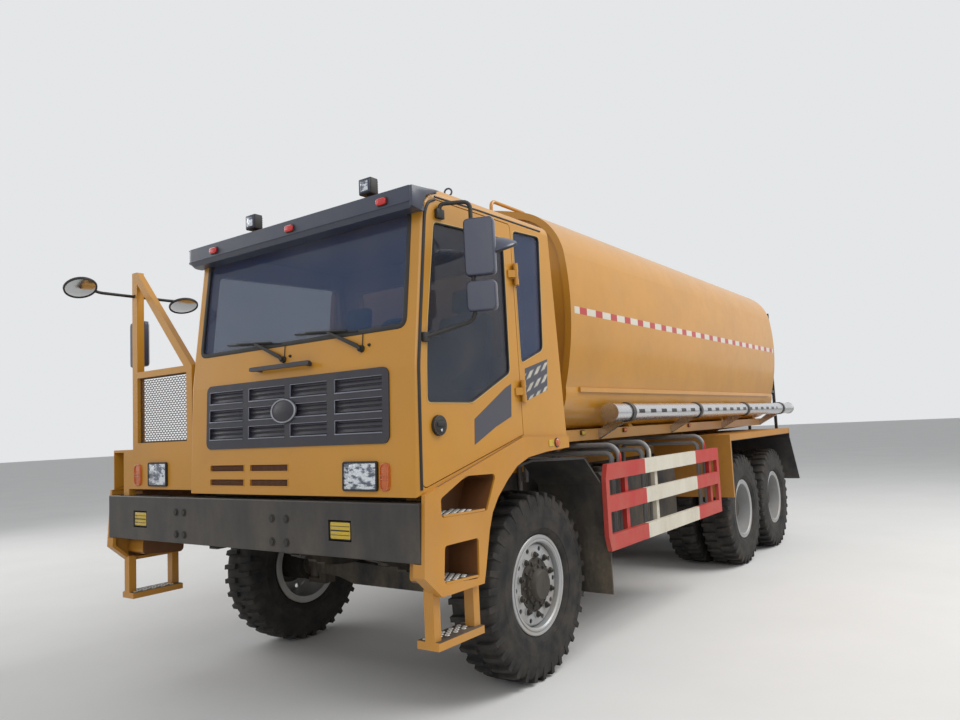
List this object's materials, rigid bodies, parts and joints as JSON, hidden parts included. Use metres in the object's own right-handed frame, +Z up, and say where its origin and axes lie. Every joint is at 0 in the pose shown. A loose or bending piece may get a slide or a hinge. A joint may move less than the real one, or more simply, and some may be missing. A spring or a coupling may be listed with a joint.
{
  "type": "off-road water tanker truck",
  "caption": "Wide off-road tanker truck: offset cab, mesh-screened platform, rounded-box tank, steered front axle, driven twin-wheel bogie, rear-hung door and hinged manhole lid.",
  "frame": {"origin": "on the ground, under the centre of the whole vehicle's box", "axes": "+Z up, the truck faces -Y, its left side is +X"},
  "size_m": [4.033, 9.6889, 3.9873],
  "materials": {
    "body_paint": "semi-gloss ochre yellow",
    "chassis_paint": "satin dark grey",
    "black_paint": "satin black",
    "seat_fabric": "dark woven",
    "cab_plastic": "grained",
    "glass": "tinted",
    "lamp_glass": "clear lens",
    "amber_lens": "moulded lens",
    "red_lens": "moulded lens",
    "polished_steel": "polished",
    "bare_steel": "galvanised",
    "guard_paint": "red and white",
    "black_rubber": "matt",
    "tyre": "dusty black",
    "rim_paint": "silver"
  },
  "bodies": {
    "root": {"frame_rails": "chassis_paint", "cross_members": "chassis_paint", "frame_brackets": "chassis_paint", "cab_mounts": "chassis_paint", "rear_bar": "chassis_paint", "bumper": "black_paint", "engine_block": "chassis_paint", "driveline": "chassis_paint", "leaf_springs": "chassis_paint", "front_axle": "chassis_paint", "rear_axles": "chassis_paint", "cab_front": "body_paint", "cab_floor": "body_paint", "cab_roof": "body_paint", "cab_rear": "body_paint", "cab_side_left": "body_paint", "cab_side_right": "body_paint", "cab_glass": "glass", "sun_visor": "black_paint", "grille": "black_paint", "wipers": "black_paint", "seats": "seat_fabric", "dashboard": "cab_plastic", "step_panels": "body_paint", "platform_right": "body_paint", "screen_mesh": "bare_steel", "mudguards_front": "black_rubber", "mirrors_right": "black_paint", "headlamps": "lamp_glass", "amber_lamps": "amber_lens", "red_lamps": "red_lens", "tank": "body_paint", "tank_beams": "body_paint", "tank_saddles": "body_paint", "hose_tubes": "polished_steel", "side_guards": "guard_paint", "frame_tanks": "chassis_paint", "mudguards_rear": "body_paint", "rear_ladder": "black_paint"},
    "knuckle_left": {"knuckle_left": "chassis_paint"},
    "knuckle_right": {"knuckle_right": "chassis_paint"},
    "tie_rod": {"tie_rod": "chassis_paint"},
    "wheel_front_left": {"tyre_front_left": "tyre", "rim_front_left": "rim_paint"},
    "wheel_front_right": {"tyre_front_right": "tyre", "rim_front_right": "rim_paint"},
    "wheels_mid_left": {"tyres_mid_left": "tyre", "rims_mid_left": "rim_paint"},
    "wheels_mid_right": {"tyres_mid_right": "tyre", "rims_mid_right": "rim_paint"},
    "wheels_rear_left": {"tyres_rear_left": "tyre", "rims_rear_left": "rim_paint"},
    "wheels_rear_right": {"tyres_rear_right": "tyre", "rims_rear_right": "rim_paint"},
    "door_left": {"door_left": "body_paint", "door_glass": "glass", "mirrors_left": "black_paint"},
    "manhole_lid": {"manhole_lid": "body_paint"}
  },
  "joints": [
    {"name": "steer_left", "type": "hinge", "parent": "root", "child": "knuckle_left", "pos_m": [0.98, -2.73, 0.685], "axis": [0, 0, 1], "range_deg": [-32, 32]},
    {"name": "steer_right", "type": "hinge", "parent": "root", "child": "knuckle_right", "pos_m": [-0.98, -2.73, 0.685], "axis": [0, 0, 1], "range_deg": [-32, 32]},
    {"name": "tie_rod_pivot", "type": "hinge", "parent": "knuckle_left", "child": "tie_rod", "pos_m": [0.98, -2.38, 0.55], "axis": [0, 0, 1], "range_deg": [-32, 32]},
    {"name": "front_left_spin", "type": "hinge", "parent": "knuckle_left", "child": "wheel_front_left", "pos_m": [1.2625, -2.73, 0.685], "axis": [1, 0, 0], "continuous": true},
    {"name": "front_right_spin", "type": "hinge", "parent": "knuckle_right", "child": "wheel_front_right", "pos_m": [-1.2625, -2.73, 0.685], "axis": [1, 0, 0], "continuous": true},
    {"name": "mid_left_spin", "type": "hinge", "parent": "root", "child": "wheels_mid_left", "pos_m": [1.3125, 2.17, 0.685], "axis": [1, 0, 0], "continuous": true},
    {"name": "mid_right_spin", "type": "hinge", "parent": "root", "child": "wheels_mid_right", "pos_m": [-1.3125, 2.17, 0.685], "axis": [1, 0, 0], "continuous": true},
    {"name": "rear_left_spin", "type": "hinge", "parent": "root", "child": "wheels_rear_left", "pos_m": [1.3125, 3.62, 0.685], "axis": [1, 0, 0], "continuous": true},
    {"name": "rear_right_spin", "type": "hinge", "parent": "root", "child": "wheels_rear_right", "pos_m": [-1.3125, 3.62, 0.685], "axis": [1, 0, 0], "continuous": true},
    {"name": "door_swing", "type": "hinge", "parent": "root", "child": "door_left", "pos_m": [1.676, -3.21011, 2.095], "axis": [0, -0.0275, 0.9996], "range_deg": [0, 70]},
    {"name": "lid_swing", "type": "hinge", "parent": "root", "child": "manhole_lid", "pos_m": [0, 1.19, 3.955], "axis": [-1, 0, 0], "range_deg": [0, 110]}
  ],
  "couplings": [
    {"joint": "steer_right", "follows": "steer_left", "ratio": 1},
    {"joint": "tie_rod_pivot", "follows": "steer_left", "ratio": -1}
  ]
}
